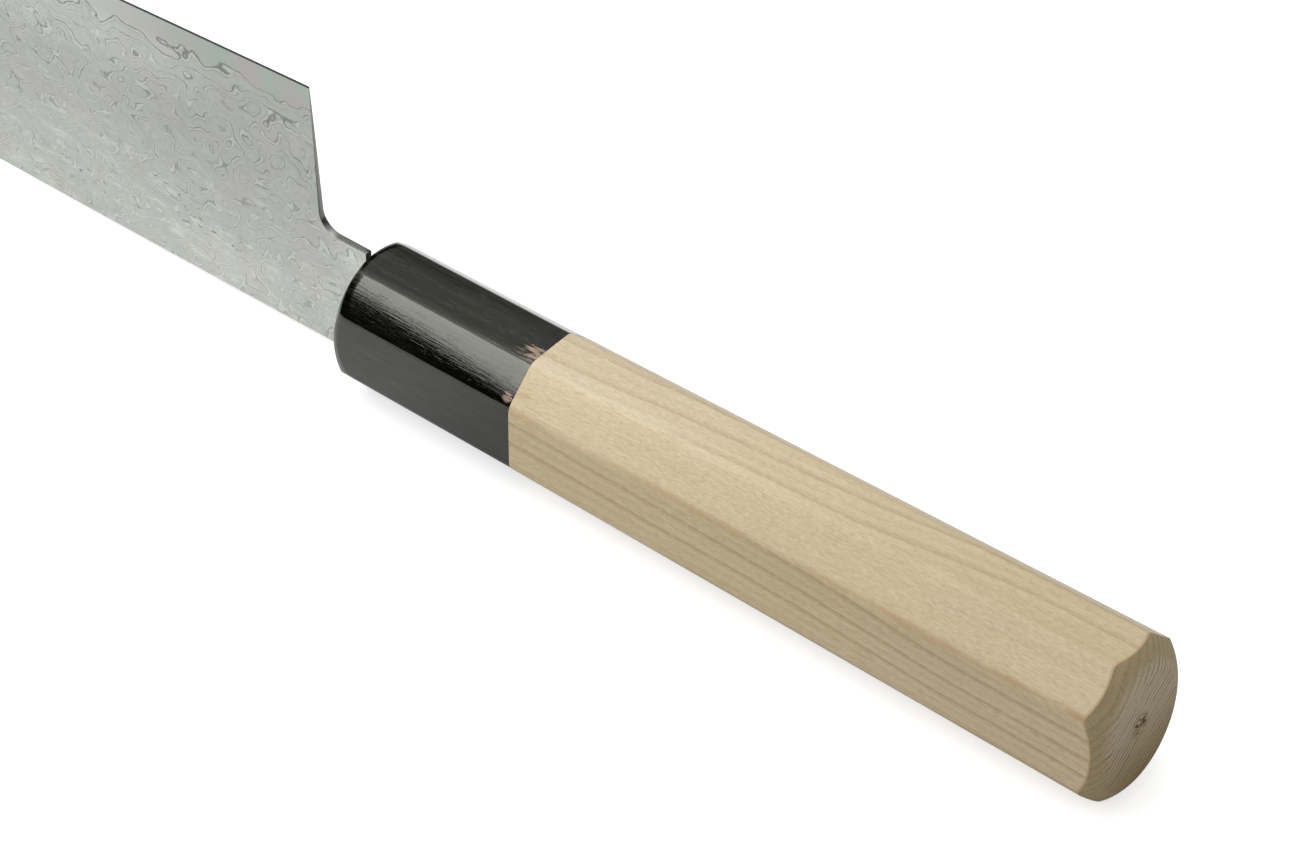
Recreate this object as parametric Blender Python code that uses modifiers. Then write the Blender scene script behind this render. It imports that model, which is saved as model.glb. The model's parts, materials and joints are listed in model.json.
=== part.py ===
"""Gyuto kitchen knife: laminated blade, hidden tang, octagonal wooden handle with a horn ferrule.

The knife stands edge up on its spine and butt. +X runs from the butt to the tip, +Z towards the
cutting edge and +Y out of the blade's right face. All sizes are in metres.
"""

import math

import bmesh
import bpy
from mathutils import Vector

# Handle: lengths along its axis
HANDLE_LENGTH = 0.1437
HORN_LENGTH = 0.0356

# Handle: octagonal sections at the horn's front, at the joint of horn and wood, and at the butt.
# The edge facets face along Z, the side facets along Y.
FRONT_WIDTH = 0.0199
FRONT_HEIGHT = 0.0222
FRONT_EDGE_FACET = 0.0088
FRONT_SIDE_FACET = 0.0113
JOINT_WIDTH = 0.0201
JOINT_HEIGHT = 0.0225
JOINT_EDGE_FACET = 0.0090
JOINT_SIDE_FACET = 0.0118
BUTT_WIDTH = 0.0215
BUTT_HEIGHT = 0.0272
BUTT_EDGE_FACET = 0.0086
BUTT_SIDE_FACET = 0.0147
RIDGE_ROUNDING = 0.00035

# Handle: turned ends. From the ridges an arc leans in to a flat face, first by the start angle to
# the axis and at the face by the end angle, in degrees. The oval is its height over its width.
NOSE_DEPTH = 0.0022
NOSE_START_LEAN = 28.0
NOSE_END_LEAN = 72.0
NOSE_OVAL = 1.12
BUTT_ROUND_DEPTH = 0.0036
BUTT_START_LEAN = 30.0
BUTT_END_LEAN = 70.0
BUTT_OVAL = 1.20
TURNED_SEGMENTS = 96
TURNED_STEPS = 6

# Handle: the dowel that lines up horn and wood
DOWEL_DIAMETER = 0.0130
DOWEL_LENGTH = 0.0300
DOWEL_CHAMFER = 0.0006

# Blade: outline seen from the side
BLADE_LENGTH = 0.2400
HEEL_HEIGHT = 0.0480
NECK_LENGTH = 0.0112
NECK_HEIGHT = 0.0214
HEEL_LEAN = 0.054
HEEL_RADIUS = 0.0035
EDGE_SLOPE = 0.050
EDGE_SAG = 0.0050
BELLY_POWER = 5.0
SPINE_SLOPE = 0.0076
SPINE_DROP = 0.0135
SPINE_POWER = 3.5
TIP_HEIGHT = 0.0006

# Blade: thickness and layers
HEEL_THICKNESS = 0.0019
TIP_THICKNESS = 0.0005
DISTAL_POWER = 1.3
GRIND_POWER = 0.72
EDGE_THICKNESS = 0.00003
SPINE_EASING = 0.00015
CORE_THICKNESS = 0.00040

# Tang: hidden inside the handle
TANG_LENGTH = 0.0950
TANG_FRONT_HEIGHT = 0.0100
TANG_END_HEIGHT = 0.0060
TANG_END_THICKNESS = 0.0015

# Clearances
SHOULDER_GAP = 0.0005
SLOT_CLEARANCE = 0.0003
DOWEL_CLEARANCE = 0.0003
GLUE_LINE = 0.00005
LAYER_GAP = 0.00002

# Fineness of the lofts
BLADE_STATIONS = 48
TANG_STATIONS = 6
FACE_ROWS = 12
ARC_STEPS = 8

# How far a cutter reaches past what it cuts
OVERCUT = 0.0050


def blend(start, end, share):
    """Value a share of the way from start to end."""
    return start + (end - start) * share


def clear_scene():
    """Removes every object that the file starts with."""
    for old in list(bpy.data.objects):
        bpy.data.objects.remove(old, do_unlink=True)


def new_collection(name):
    """Collection of that name in the scene."""
    collection = bpy.data.collections.new(name)
    bpy.context.scene.collection.children.link(collection)
    return collection


def new_object(name, mesh, collection):
    """Object that shows the mesh, in a collection."""
    shown = bpy.data.objects.new(name, mesh)
    collection.objects.link(shown)
    return shown


def finish_material(name, colour, roughness, metallic):
    """Plain material for one sub-part."""
    material = bpy.data.materials.new(name)
    material.use_nodes = True
    shader = material.node_tree.nodes["Principled BSDF"]
    shader.inputs["Base Color"].default_value = (*colour, 1.0)
    shader.inputs["Roughness"].default_value = roughness
    shader.inputs["Metallic"].default_value = metallic
    return material


def mark_cutter(cutter):
    """Keeps a cutter out of the render and shows it as wires."""
    cutter.hide_render = True
    cutter.display_type = "WIRE"
    return cutter


def add_boolean(piece, operation, cutter):
    """Boolean modifier on the piece."""
    modifier = piece.modifiers.new(cutter.name, "BOOLEAN")
    modifier.operation = operation
    modifier.solver = "EXACT"
    modifier.object = cutter


def loft(name, rings):
    """Closed mesh through rings that all have the same number of points, capped at both ends."""
    shape = bmesh.new()
    loops = [[shape.verts.new(point) for point in ring] for ring in rings]
    count = len(rings[0])
    for near, far in zip(loops, loops[1:]):
        for index in range(count):
            after = (index + 1) % count
            shape.faces.new((near[index], near[after], far[after], far[index]))
    shape.faces.new(loops[0])
    shape.faces.new(list(reversed(loops[-1])))
    bmesh.ops.recalc_face_normals(shape, faces=shape.faces)
    mesh = bpy.data.meshes.new(name)
    shape.to_mesh(mesh)
    shape.free()
    return mesh


def extruded_outline(name, points, half_depth, collection):
    """Solid from a closed outline in the XZ plane, as deep along Y to both sides."""
    curve = bpy.data.curves.new(name, "CURVE")
    curve.dimensions = "2D"
    curve.fill_mode = "BOTH"
    curve.extrude = half_depth
    spline = curve.splines.new("POLY")
    spline.points.add(len(points) - 1)
    for knot, (x, z) in zip(spline.points, points):
        knot.co = (x, z, 0.0, 1.0)
    spline.use_cyclic_u = True
    drawn = new_object(name + "_outline", curve, collection)
    drawn.rotation_euler = (math.pi / 2, 0.0, 0.0)
    bpy.context.view_layer.update()
    evaluated = drawn.evaluated_get(bpy.context.evaluated_depsgraph_get())
    mesh = bpy.data.meshes.new_from_object(evaluated)
    mesh.transform(drawn.matrix_world)
    bpy.data.objects.remove(drawn, do_unlink=True)
    shape = bmesh.new()
    shape.from_mesh(mesh)
    bmesh.ops.remove_doubles(shape, verts=shape.verts, dist=1e-6)
    bmesh.ops.recalc_face_normals(shape, faces=shape.faces)
    shape.to_mesh(mesh)
    shape.free()
    mesh.name = name
    return new_object(name, mesh, collection)


def box(name, low, high, collection):
    """Box between two corners."""
    shape = bmesh.new()
    bmesh.ops.create_cube(shape, size=1.0)
    size = Vector(high) - Vector(low)
    bmesh.ops.scale(shape, vec=size, verts=shape.verts)
    bmesh.ops.translate(shape, vec=Vector(low) + size / 2, verts=shape.verts)
    mesh = bpy.data.meshes.new(name)
    shape.to_mesh(mesh)
    shape.free()
    return new_object(name, mesh, collection)


# Handle sections. The handle's axis is X, and the horn's front face is at x = 0.


def octagon(x, width, height, edge_facet, side_facet):
    """Ring of the octagonal section at x."""
    half_width = width / 2
    half_height = height / 2
    half_edge = edge_facet / 2
    half_side = side_facet / 2
    corners = [
        (half_width, half_side),
        (half_edge, half_height),
        (-half_edge, half_height),
        (-half_width, half_side),
        (-half_width, -half_side),
        (-half_edge, -half_height),
        (half_edge, -half_height),
        (half_width, -half_side),
    ]
    return [Vector((x, y, z)) for y, z in corners]


def handle_section(x):
    """Width, height, edge facet and side facet of the handle at x."""
    front = (FRONT_WIDTH, FRONT_HEIGHT, FRONT_EDGE_FACET, FRONT_SIDE_FACET)
    joint = (JOINT_WIDTH, JOINT_HEIGHT, JOINT_EDGE_FACET, JOINT_SIDE_FACET)
    butt = (BUTT_WIDTH, BUTT_HEIGHT, BUTT_EDGE_FACET, BUTT_SIDE_FACET)
    if x > -HORN_LENGTH:
        share = -x / HORN_LENGTH
        return [blend(a, b, share) for a, b in zip(front, joint)]
    share = (-x - HORN_LENGTH) / (HANDLE_LENGTH - HORN_LENGTH)
    return [blend(a, b, share) for a, b in zip(joint, butt)]


def octagonal_bar(name, start, end, collection):
    """Length of the octagonal handle with softened ridges."""
    rings = [octagon(x, *handle_section(x)) for x in (start, end)]
    mesh = loft(name, rings)
    shape = bmesh.new()
    shape.from_mesh(mesh)
    weight = shape.edges.layers.float.new("bevel_weight_edge")
    for edge in shape.edges:
        along = abs(edge.verts[0].co.x - edge.verts[1].co.x)
        edge[weight] = 1.0 if along > abs(start - end) / 2 else 0.0
    shape.to_mesh(mesh)
    shape.free()
    bar = new_object(name, mesh, collection)
    bevel = bar.modifiers.new("ridges", "BEVEL")
    bevel.limit_method = "WEIGHT"
    bevel.width = RIDGE_ROUNDING
    bevel.segments = 2
    return bar


def turned_profile(radius, depth, start_lean, end_lean, length):
    """Points (back, radius) of a turned end, from the centre of its face to its far end."""
    start = math.radians(start_lean)
    end = math.radians(end_lean)
    arc_radius = depth / (math.sin(end) - math.sin(start))
    points = [(0.0, 0.0)]
    for step in range(TURNED_STEPS + 1):
        lean = blend(end, start, step / TURNED_STEPS)
        back = arc_radius * (math.sin(end) - math.sin(lean))
        points.append((back, radius - arc_radius * (math.cos(start) - math.cos(lean))))
    flare = radius + OVERCUT * math.tan(start)
    points.append((depth + OVERCUT, flare))
    points.append((length, flare))
    points.append((length, 0.0))
    return points


def turned_end(name, face_x, inward, depth, leans, oval, collection):
    """Oval turned body that rounds off one end of the handle.

    The oval meets the ridges of the side facets at a depth behind the end face. Inward is -1 where
    the handle lies on the -X side of the face and 1 where it lies on the +X side.
    """
    width, height, edge_facet, side_facet = handle_section(face_x + inward * depth)
    radius = math.hypot(width / 2, side_facet / 2 / oval)
    shape = bmesh.new()
    points = turned_profile(radius, depth, leans[0], leans[1], HANDLE_LENGTH)
    knots = [shape.verts.new((across, 0.0, -back)) for back, across in points]
    for first, second in zip(knots, knots[1:]):
        shape.edges.new((first, second))
    mesh = bpy.data.meshes.new(name)
    shape.to_mesh(mesh)
    shape.free()
    turned = new_object(name, mesh, collection)
    screw = turned.modifiers.new("turn", "SCREW")
    screw.steps = TURNED_SEGMENTS
    screw.render_steps = TURNED_SEGMENTS
    screw.use_merge_vertices = True
    screw.merge_threshold = 1e-6
    weld = turned.modifiers.new("close", "WELD")
    weld.merge_threshold = 1e-6
    turned.rotation_euler = (0.0, inward * -math.pi / 2, 0.0)
    turned.scale = (oval, 1.0, 1.0)
    turned.location = (face_x, 0.0, 0.0)
    return mark_cutter(turned)


# Blade outline. The edge and the spine are heights over the run from the heel to the tip.


def blade_share(x):
    """How far x lies from the heel to the tip, from 0 to 1."""
    return min(max((x - NECK_LENGTH) / BLADE_LENGTH, 0.0), 1.0)


def spine_z(x):
    """Height of the spine at x."""
    share = blade_share(x)
    run = share * BLADE_LENGTH
    return -NECK_HEIGHT / 2 - SPINE_SLOPE * run + SPINE_DROP * share**SPINE_POWER


def edge_z(x):
    """Height of the cutting edge at x. Behind the heel it is level, to carry the grind back."""
    share = blade_share(x)
    run = share * BLADE_LENGTH
    heel = HEEL_HEIGHT - NECK_HEIGHT / 2
    tip = spine_z(NECK_LENGTH + BLADE_LENGTH) + TIP_HEIGHT
    belly = heel - EDGE_SLOPE * BLADE_LENGTH - EDGE_SAG - tip
    return heel - EDGE_SLOPE * run - EDGE_SAG * share**2 - belly * share**BELLY_POWER


def spine_thickness(x):
    """Thickness at the spine: it tapers to the tip, and along the tang to its end."""
    if x < 0.0:
        return blend(HEEL_THICKNESS, TANG_END_THICKNESS, -x / TANG_LENGTH)
    taper = 1.0 - blade_share(x) ** DISTAL_POWER
    return blend(TIP_THICKNESS, HEEL_THICKNESS, taper)


def blade_ring(x):
    """Convex ground section at x, round from the edge up one face and down the other."""
    low = spine_z(x)
    high = edge_z(x)
    face = []
    for row in range(FACE_ROWS + 1):
        z = blend(high, low + SPINE_EASING, (row / FACE_ROWS) ** 2)
        share = (high - z) / (high - low)
        half = blend(EDGE_THICKNESS, spine_thickness(x), share**GRIND_POWER) / 2
        face.append((half, z))
    face.append((face[-1][0] - SPINE_EASING, low))
    right = [Vector((x, y, z)) for y, z in face]
    left = [Vector((x, -y, z)) for y, z in reversed(face)]
    return right + left


def blade_blank():
    """Mesh of the whole ground blank, before its heel, neck and tang are cut out."""
    start = -TANG_LENGTH - OVERCUT
    places = [blend(start, NECK_LENGTH, step / TANG_STATIONS) for step in range(TANG_STATIONS)]
    for step in range(BLADE_STATIONS + 1):
        places.append(NECK_LENGTH + BLADE_LENGTH * step / BLADE_STATIONS)
    return loft("blade_blank", [blade_ring(x) for x in places])


def tang_half_height(x):
    """Half of the tang's height at x, from its shoulders to its end."""
    share = (SHOULDER_GAP - x) / (SHOULDER_GAP + TANG_LENGTH)
    return blend(TANG_FRONT_HEIGHT, TANG_END_HEIGHT, share) / 2


def waste_outline():
    """Outline of what is cut off behind the heel, over the neck and round the tang."""
    heel_z = HEEL_HEIGHT - NECK_HEIGHT / 2
    neck_z = NECK_HEIGHT / 2
    slant = math.hypot(1.0, HEEL_LEAN)
    centre_z = neck_z + HEEL_RADIUS
    centre_x = NECK_LENGTH - HEEL_LEAN * (heel_z - centre_z) - HEEL_RADIUS * slant
    top = heel_z + OVERCUT
    bottom = -neck_z - OVERCUT
    back = -TANG_LENGTH - 2 * OVERCUT
    points = [(NECK_LENGTH + HEEL_LEAN * OVERCUT, top)]
    for step in range(ARC_STEPS + 1):
        turn = blend(-math.atan(HEEL_LEAN), -math.pi / 2, step / ARC_STEPS)
        x = centre_x + HEEL_RADIUS * math.cos(turn)
        points.append((x, centre_z + HEEL_RADIUS * math.sin(turn)))
    front_half = TANG_FRONT_HEIGHT / 2
    end_half = TANG_END_HEIGHT / 2
    points.append((SHOULDER_GAP, neck_z))
    points.append((SHOULDER_GAP, front_half))
    points.append((-TANG_LENGTH, end_half))
    points.append((-TANG_LENGTH, -end_half))
    points.append((SHOULDER_GAP, -front_half))
    points.append((SHOULDER_GAP, bottom))
    points.append((back, bottom))
    points.append((back, top))
    return points


def blade_layer(name, blank, waste, low_y, high_y, parts, cutters):
    """One layer of the laminated blade, between two depths along Y."""
    reach_x = NECK_LENGTH + BLADE_LENGTH + OVERCUT
    low = (-TANG_LENGTH - 2 * OVERCUT, low_y, -NECK_HEIGHT)
    high = (reach_x, high_y, HEEL_HEIGHT)
    slab = mark_cutter(box(name + "_slab", low, high, cutters))
    layer = new_object(name, blank.copy(), parts)
    layer.data.name = name
    add_boolean(layer, "DIFFERENCE", waste)
    add_boolean(layer, "INTERSECT", slab)
    return layer


def make_blade(parts, cutters):
    """Core steel and its two claddings, cut from one ground blank."""
    blank = blade_blank()
    waste = extruded_outline("blade_waste", waste_outline(), OVERCUT, cutters)
    mark_cutter(waste)
    inner = CORE_THICKNESS / 2
    outer = inner + LAYER_GAP
    core = blade_layer("core_steel", blank, waste, -inner, inner, parts, cutters)
    right = blade_layer("cladding_right", blank, waste, outer, OVERCUT, parts, cutters)
    left = blade_layer("cladding_left", blank, waste, -OVERCUT, -outer, parts, cutters)
    bpy.data.meshes.remove(blank)
    core.data.materials.append(finish_material("core_steel", (0.62, 0.64, 0.63), 0.22, 1.0))
    cladding = finish_material("damascus_steel", (0.50, 0.52, 0.51), 0.34, 1.0)
    right.data.materials.append(cladding)
    left.data.materials.append(cladding)


def make_tang_slot(cutters):
    """Tapered slot that the tang fits with its clearance."""
    rings = []
    for x in (OVERCUT, -TANG_LENGTH - SLOT_CLEARANCE):
        half_height = tang_half_height(x) + SLOT_CLEARANCE
        half_width = spine_thickness(min(x, 0.0)) / 2 + SLOT_CLEARANCE
        corners = ((1, 1), (-1, 1), (-1, -1), (1, -1))
        rings.append([Vector((x, half_width * y, half_height * z)) for y, z in corners])
    return mark_cutter(new_object("tang_slot", loft("tang_slot", rings), cutters))


def rod_along_x(name, diameter, low_x, high_x, collection):
    """Round rod on the handle's axis."""
    shape = bmesh.new()
    bmesh.ops.create_cone(
        shape,
        cap_ends=True,
        segments=48,
        radius1=diameter / 2,
        radius2=diameter / 2,
        depth=high_x - low_x,
    )
    mesh = bpy.data.meshes.new(name)
    shape.to_mesh(mesh)
    shape.free()
    rod = new_object(name, mesh, collection)
    rod.rotation_euler = (0.0, math.pi / 2, 0.0)
    rod.location = ((low_x + high_x) / 2, 0.0, 0.0)
    return rod


def make_handle(parts, cutters):
    """Horn ferrule and wooden grip on their dowel, with the slot for the tang."""
    nose_leans = (NOSE_START_LEAN, NOSE_END_LEAN)
    nose = turned_end("horn_nose", 0.0, -1, NOSE_DEPTH, nose_leans, NOSE_OVAL, cutters)
    butt_leans = (BUTT_START_LEAN, BUTT_END_LEAN)
    butt_x = -HANDLE_LENGTH
    butt = turned_end("butt_turning", butt_x, 1, BUTT_ROUND_DEPTH, butt_leans, BUTT_OVAL, cutters)
    slot = make_tang_slot(cutters)
    bore_half = DOWEL_LENGTH / 2 + DOWEL_CLEARANCE
    bore = mark_cutter(
        rod_along_x(
            "dowel_bore",
            DOWEL_DIAMETER + 2 * DOWEL_CLEARANCE,
            -HORN_LENGTH - bore_half,
            -HORN_LENGTH + bore_half,
            cutters,
        )
    )
    horn = octagonal_bar("horn_ferrule", 0.0, -HORN_LENGTH, parts)
    wood = octagonal_bar("wood_handle", -HORN_LENGTH - GLUE_LINE, -HANDLE_LENGTH, parts)
    add_boolean(horn, "INTERSECT", nose)
    add_boolean(wood, "INTERSECT", butt)
    for piece in (horn, wood):
        add_boolean(piece, "DIFFERENCE", bore)
        add_boolean(piece, "DIFFERENCE", slot)
    dowel = rod_along_x(
        "joining_dowel",
        DOWEL_DIAMETER,
        -HORN_LENGTH - DOWEL_LENGTH / 2,
        -HORN_LENGTH + DOWEL_LENGTH / 2,
        parts,
    )
    chamfer = dowel.modifiers.new("chamfer", "BEVEL")
    chamfer.width = DOWEL_CHAMFER
    chamfer.segments = 1
    chamfer.limit_method = "ANGLE"
    chamfer.angle_limit = math.radians(60)
    add_boolean(dowel, "DIFFERENCE", slot)
    horn.data.materials.append(finish_material("buffalo_horn", (0.012, 0.012, 0.011), 0.16, 0.0))
    wood.data.materials.append(finish_material("magnolia", (0.62, 0.51, 0.34), 0.55, 0.0))
    dowel.data.materials.append(finish_material("dowel_wood", (0.52, 0.41, 0.26), 0.6, 0.0))


def rest_pitch():
    """Angle by which the knife's axis dips when it rests on its butt and its spine."""
    butt_x = -HANDLE_LENGTH + BUTT_ROUND_DEPTH / 2
    butt_z = -handle_section(butt_x)[1] / 2
    slopes = []
    for step in range(1, BLADE_STATIONS + 1):
        x = NECK_LENGTH + BLADE_LENGTH * step / BLADE_STATIONS
        slopes.append((spine_z(x) - butt_z) / (x - butt_x))
    return math.atan(min(slopes))


def stand_at_origin(knife, parts):
    """Turns the knife to its rest and puts the bottom centre of its box at the origin."""
    knife.rotation_euler = (0.0, rest_pitch(), 0.0)
    bpy.context.view_layer.update()
    graph = bpy.context.evaluated_depsgraph_get()
    corners = []
    for piece in parts.objects:
        evaluated = piece.evaluated_get(graph)
        mesh = evaluated.to_mesh()
        corners.extend(evaluated.matrix_world @ vertex.co for vertex in mesh.vertices)
        evaluated.to_mesh_clear()
    low = [min(corner[axis] for corner in corners) for axis in range(3)]
    high = [max(corner[axis] for corner in corners) for axis in range(3)]
    knife.location = (-(low[0] + high[0]) / 2, -(low[1] + high[1]) / 2, -low[2])


def smooth_faces(piece):
    """Shades the piece smooth between its sharp edges."""
    piece.data.shade_smooth()
    piece.data.set_sharp_from_angle(angle=math.radians(30))


def main():
    clear_scene()
    parts = new_collection("gyuto_knife")
    cutters = new_collection("gyuto_knife_cutters")
    make_blade(parts, cutters)
    make_handle(parts, cutters)
    knife = new_object("knife", None, cutters)
    knife.empty_display_size = HORN_LENGTH
    for group in (parts, cutters):
        for child in group.objects:
            if child is not knife:
                child.parent = knife
    for piece in parts.objects:
        smooth_faces(piece)
    stand_at_origin(knife, parts)


main()
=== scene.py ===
"""Gyuto kitchen knife, dressed for a studio picture.

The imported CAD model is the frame. Each piece here stands where its CAD solid stands, in metres,
with +X from the butt to the tip, +Y out of the blade's right face and +Z towards the cutting edge.
"""

import json
import math

import bpy
from mathutils import Matrix, Vector


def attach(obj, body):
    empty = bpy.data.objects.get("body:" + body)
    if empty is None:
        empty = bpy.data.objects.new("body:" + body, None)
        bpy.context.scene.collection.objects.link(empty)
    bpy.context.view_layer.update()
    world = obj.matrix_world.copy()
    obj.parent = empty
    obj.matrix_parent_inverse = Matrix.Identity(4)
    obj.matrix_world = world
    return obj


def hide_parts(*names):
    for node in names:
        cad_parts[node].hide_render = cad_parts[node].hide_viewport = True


bl_info = {
    "name": "Gyuto Knife",
    "version": (1, 0, 0),
    "blender": (4, 5, 0),
    "location": "View3D > Sidebar > Gyuto",
    "description": "Builds a laminated gyuto with an octagonal wooden handle",
    "category": "Add Mesh",
}

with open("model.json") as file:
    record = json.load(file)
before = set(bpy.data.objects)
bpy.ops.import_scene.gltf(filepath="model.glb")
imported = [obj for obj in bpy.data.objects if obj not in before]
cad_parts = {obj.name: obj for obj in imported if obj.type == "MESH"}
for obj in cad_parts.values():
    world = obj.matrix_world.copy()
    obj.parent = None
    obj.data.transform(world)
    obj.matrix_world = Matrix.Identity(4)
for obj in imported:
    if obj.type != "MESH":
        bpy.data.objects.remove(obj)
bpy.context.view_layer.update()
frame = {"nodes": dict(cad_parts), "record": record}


# Sizes and colours that a user would change.


class BladeSettings(bpy.types.PropertyGroup):
    """Sizes and colours of the blade."""

    length: bpy.props.FloatProperty(
        name="Length", description="From the heel to the tip",
        default=0.2400, unit="LENGTH",
    )
    heel_height: bpy.props.FloatProperty(
        name="Heel Height", description="From the spine to the cutting edge at the heel",
        default=0.0480, unit="LENGTH",
    )
    neck_length: bpy.props.FloatProperty(
        name="Neck Length", description="From the ferrule to the heel",
        default=0.0112, unit="LENGTH",
    )
    neck_height: bpy.props.FloatProperty(
        name="Neck Height", description="Height of the blade where it meets the ferrule",
        default=0.0214, unit="LENGTH",
    )
    heel_radius: bpy.props.FloatProperty(
        name="Choil Radius", description="Radius of the corner between the neck and the heel",
        default=0.0035, unit="LENGTH",
    )
    heel_lean: bpy.props.FloatProperty(
        name="Heel Lean", description="How far the heel leans forward for its height",
        default=0.054,
    )
    heel_thickness: bpy.props.FloatProperty(
        name="Heel Thickness", description="Thickness of the spine over the heel",
        default=0.0019, unit="LENGTH",
    )
    tip_thickness: bpy.props.FloatProperty(
        name="Tip Thickness", description="Thickness of the spine at the tip",
        default=0.0005, unit="LENGTH",
    )
    core_band: bpy.props.FloatProperty(
        name="Core Band", description="Height of the bare core steel along the cutting edge",
        default=0.0046, unit="LENGTH",
    )
    steel_colour: bpy.props.FloatVectorProperty(
        name="Steel", description="Colour of the cladding between its lines",
        default=(0.455, 0.472, 0.441), subtype="COLOR", min=0.0, max=1.0,
    )
    line_colour: bpy.props.FloatVectorProperty(
        name="Layer Lines", description="Colour of the etched layer lines",
        default=(0.215, 0.222, 0.205), subtype="COLOR", min=0.0, max=1.0,
    )
    rim_colour: bpy.props.FloatVectorProperty(
        name="Ground Rim", description="Colour of the ground spine, choil and neck",
        default=(0.290, 0.290, 0.268), subtype="COLOR", min=0.0, max=1.0,
    )


class HandleSettings(bpy.types.PropertyGroup):
    """Sizes and colours of the handle."""

    length: bpy.props.FloatProperty(
        name="Length", description="From the ferrule's front to the butt",
        default=0.1437, unit="LENGTH",
    )
    horn_length: bpy.props.FloatProperty(
        name="Ferrule Length", description="Length of the horn ferrule",
        default=0.0356, unit="LENGTH",
    )
    horn_rounding: bpy.props.FloatProperty(
        name="Horn Rounding", description="How much the ridges of the polished horn are softened",
        default=0.00045, unit="LENGTH",
    )
    horn_crown: bpy.props.FloatProperty(
        name="Horn Crown", description="How far the middle of a horn facet stands over its ridges",
        default=0.00018, unit="LENGTH",
    )
    wood_rounding: bpy.props.FloatProperty(
        name="Wood Rounding", description="How much the ridges of the sanded wood are softened",
        default=0.00080, unit="LENGTH",
    )
    wood_crown: bpy.props.FloatProperty(
        name="Wood Crown", description="How far the middle of a wood facet stands over its ridges",
        default=0.00006, unit="LENGTH",
    )
    horn_colour: bpy.props.FloatVectorProperty(
        name="Horn", description="Colour of the black buffalo horn",
        default=(0.0012, 0.0013, 0.0010), subtype="COLOR", min=0.0, max=1.0,
    )
    wood_colour: bpy.props.FloatVectorProperty(
        name="Magnolia", description="Colour of the early wood",
        default=(0.556, 0.458, 0.288), subtype="COLOR", min=0.0, max=1.0,
    )
    grain_colour: bpy.props.FloatVectorProperty(
        name="Grain", description="Colour of the darker growth lines",
        default=(0.370, 0.268, 0.140), subtype="COLOR", min=0.0, max=1.0,
    )
    end_colour: bpy.props.FloatVectorProperty(
        name="End Grain", description="Colour of the wood where it is cut across",
        default=(0.285, 0.225, 0.128), subtype="COLOR", min=0.0, max=1.0,
    )


class StudioSettings(bpy.types.PropertyGroup):
    """The camera and the light. A brightness of 1 is a white surface."""

    lens: bpy.props.FloatProperty(
        name="Lens", description="Focal length of the camera",
        default=138.04, unit="CAMERA",
    )
    key_radiance: bpy.props.FloatProperty(
        name="Key Light", description="Brightness of the soft box on the right",
        default=4.6,
    )
    key_roll: bpy.props.FloatProperty(
        name="Key Roll", description="Turn of that soft box about its own axis",
        default=math.radians(-30.0), unit="ROTATION",
    )
    top_radiance: bpy.props.FloatProperty(
        name="Top Light", description="Brightness of the soft box overhead",
        default=3.1,
    )
    fill: bpy.props.FloatProperty(
        name="Fill Light", description="Brightness of the room",
        default=0.70,
    )


# Sizes that the CAD source also has. A section is a width, a height, and the widths of an edge
# facet and a side facet.

FRONT_SECTION = (0.0199, 0.0222, 0.0088, 0.0113)
JOINT_SECTION = (0.0201, 0.0225, 0.0090, 0.0118)
BUTT_SECTION = (0.0215, 0.0272, 0.0086, 0.0147)
NOSE = {"depth": 0.0022, "leans": (28.0, 72.0), "oval": 1.12}
BUTT = {"depth": 0.0036, "leans": (30.0, 70.0), "oval": 1.20}
EDGE_SLOPE = 0.050
EDGE_SAG = 0.0050
BELLY_POWER = 5.0
SPINE_SLOPE = 0.0076
SPINE_DROP = 0.0135
SPINE_POWER = 3.5
TIP_HEIGHT = 0.0006
DISTAL_POWER = 1.3
GRIND_POWER = 0.72
EDGE_THICKNESS = 0.00003
SHOULDER_GAP = 0.0005
TANG_LENGTH = 0.0950
TANG_FRONT = (0.0100, 0.0019)
TANG_END = (0.0060, 0.0015)
SLOT_CLEARANCE = 0.0003
BORE_DIAMETER = 0.0136
BORE_LENGTH = 0.0306
GLUE_LINE = 0.00005

# Roundings and counts of the dressed pieces.

NEARBY = 1e-6
ON_RIDGE = 1e-5
OFF_CORNER = 1e-4
NOSE_ROLL = 0.0009
NOSE_SOFTENING = 0.00035
NOSE_ZONE = (-0.006, 0.0085)
NOSE_EDGE = math.radians(20)
END_GRAIN_LEAN = math.radians(20)
RIM_EASING = 0.00014
THIN_EASING = 0.3
RIM_TURN = math.radians(45)
RIM_NORMAL = 0.80
TANG_SEAT = 0.00002
OVERCUT = 0.0050
TURNED_REACH = 0.16
TURNED_SIDES = 128
TURNED_STEPS = 12
BORE_SIDES = 48
RIDGE_SEGMENTS = 5
FACET_STRIPS = 6
ARC_STEPS = 10
NECK_STEPS = 8
HEEL_STEPS = 14
EDGE_STEPS = 130
EDGE_CROWDING = 1.25
FAN_REACH = 0.044
FACE_ROWS = 26
ROW_CROWDING = 1.7
SMOOTH_STEEL = 40
SMOOTH_HANDLE = 17

# Measures of the finishes.

GROUND_HEIGHT = 0.046
LAYER_COUNT = 14
HORN_MARKS = (((0.0015, 0.0028, 0.0110), 0.0036), ((0.0009, 0.0090, 0.0072), 0.0016))
PITH_OFFSET = (0.0, 0.0008, 0.0011)
WHITE = (1.0, 1.0, 1.0)

# Studio, with angles in degrees.

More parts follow.
